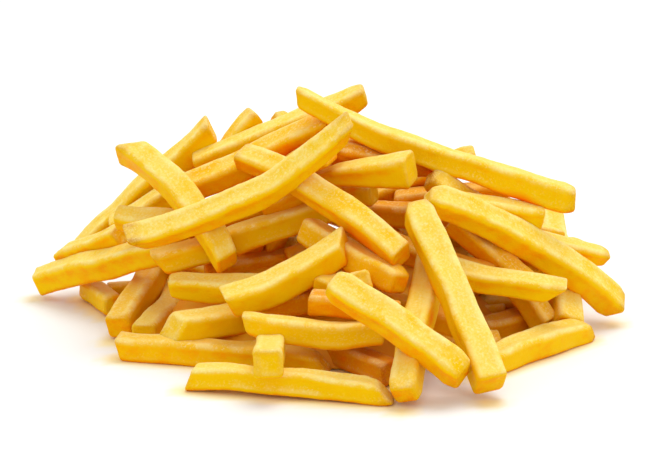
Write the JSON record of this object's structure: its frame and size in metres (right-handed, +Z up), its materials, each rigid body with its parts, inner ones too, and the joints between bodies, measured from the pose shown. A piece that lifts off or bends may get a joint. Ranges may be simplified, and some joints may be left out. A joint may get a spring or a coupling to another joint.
{
  "type": "french fries portion",
  "caption": "Loose heap of straight-cut french fries piled at all angles into a low mound, lying on its own with no dish.",
  "frame": {"origin": "centre of the heap's footprint box, on the surface that it lies on", "axes": "+X across the heap to the viewer's right, +Y away from the viewer, +Z up"},
  "size_m": [0.2206, 0.1708, 0.0879],
  "materials": {
    "fried_potato": "golden fried potato, pale yellow on the tops and deeper gold on the sides, softly sheened"
  },
  "bodies": {
    "root": {"fries": "fried_potato"}
  },
  "joints": []
}
